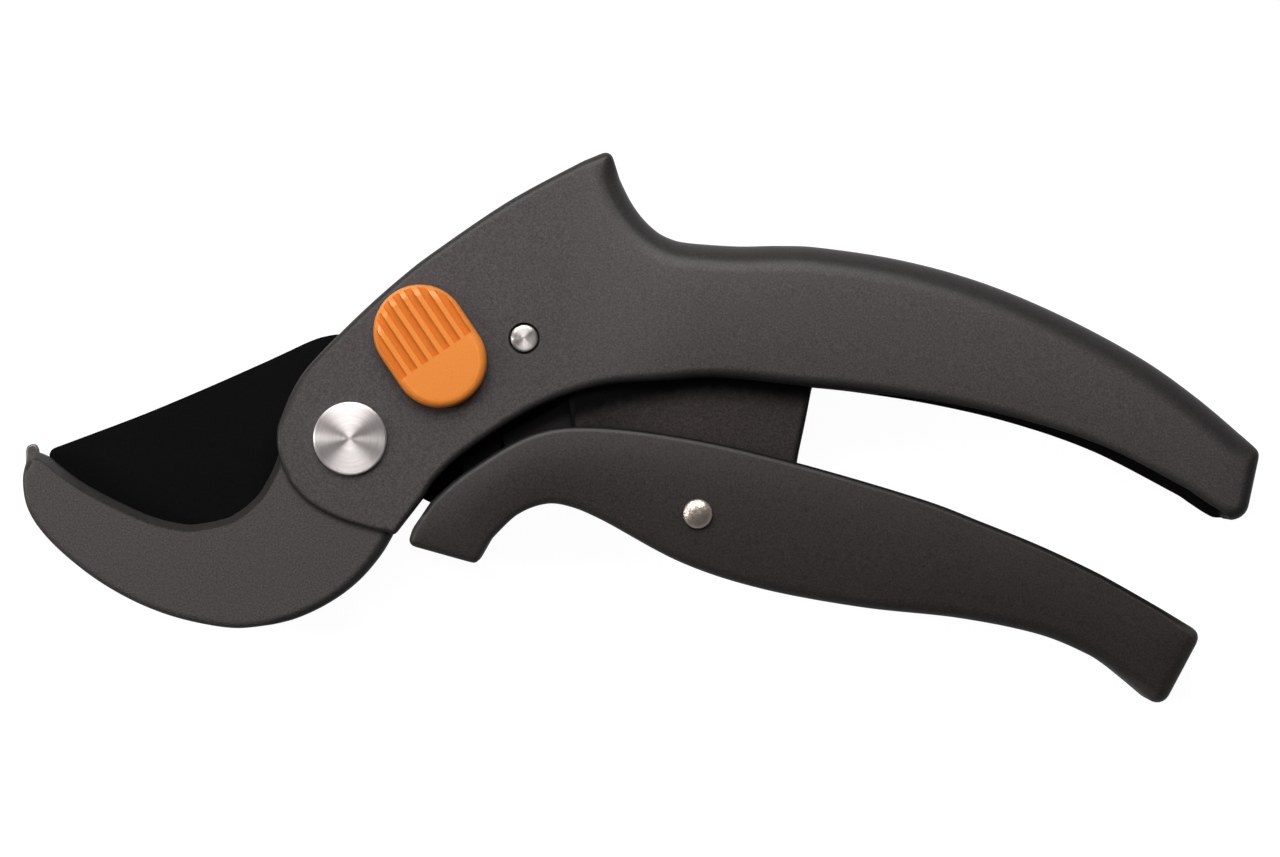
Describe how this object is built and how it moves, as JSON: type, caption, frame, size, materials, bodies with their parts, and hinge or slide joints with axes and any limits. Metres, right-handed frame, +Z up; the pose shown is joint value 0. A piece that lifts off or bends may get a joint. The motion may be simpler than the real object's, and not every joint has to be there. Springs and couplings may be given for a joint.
{
  "type": "pruning shears",
  "caption": "Bypass pruning shears with a compound-action lower grip, a fixed hook, a coated blade and a grooved thumb lock, closed and lying on their side.",
  "frame": {"origin": "middle of the footprint of the closed shears, on the plane that their far side rests on", "axes": "+X along the grips towards their ends, the jaws point to -X; +Y towards the thumb side of the upper grip; +Z up through the thickness, towards the lock button"},
  "size_m": [0.2108, 0.094, 0.0211],
  "materials": {
    "nylon": "fine grained glass-filled nylon, warm charcoal",
    "dark_nylon": "fine grained glass-filled nylon, darker charcoal",
    "lever_nylon": "grained nylon, near black",
    "coated_steel": "matte black low-friction coating",
    "steel": "turned, bare",
    "orange_plastic": "moulded, satin"
  },
  "bodies": {
    "upper_grip": {"upper_handle": "nylon", "rear_cover": "nylon", "hook": "nylon", "hook_insert": "coated_steel", "hook_dowel_1": "steel", "hook_dowel_2": "steel", "pivot_bolt": "steel", "pivot_bush": "steel", "pivot_washer": "steel", "pivot_nut": "steel", "fulcrum_plate": "coated_steel", "fulcrum_rivet": "steel", "return_spring": "steel"},
    "blade_lever": {"blade": "coated_steel", "drive_lever": "lever_nylon", "lever_screw_1": "steel", "lever_screw_2": "steel"},
    "lower_grip": {"lower_handle": "dark_nylon", "handle_rivet": "steel", "handle_washer_far": "steel", "handle_washer_near": "steel", "guide_pin": "steel"},
    "thumb_lock": {"lock_button": "orange_plastic", "lock_cam": "steel", "lock_washer": "steel", "lock_clip": "steel"}
  },
  "joints": [
    {"name": "blade_swing", "type": "hinge", "parent": "upper_grip", "child": "blade_lever", "pos_m": [-0.04934, -0.00205, 0.01], "axis": [0, 0, -1], "range_deg": [0, 20], "deforming": ["return_spring"]},
    {"name": "grip_swing", "type": "hinge", "parent": "blade_lever", "child": "lower_grip", "pos_m": [0.00996, -0.01485, 0.01], "axis": [0, 0, -1], "range_deg": [0, 12.8]},
    {"name": "lock_turn", "type": "hinge", "parent": "upper_grip", "child": "thumb_lock", "pos_m": [-0.03394, 0.01115, 0.01], "axis": [0, 0, 1], "range_deg": [0, 55]}
  ],
  "couplings": [
    {"joint": "grip_swing", "follows": "blade_swing", "ratio": 0.64}
  ]
}
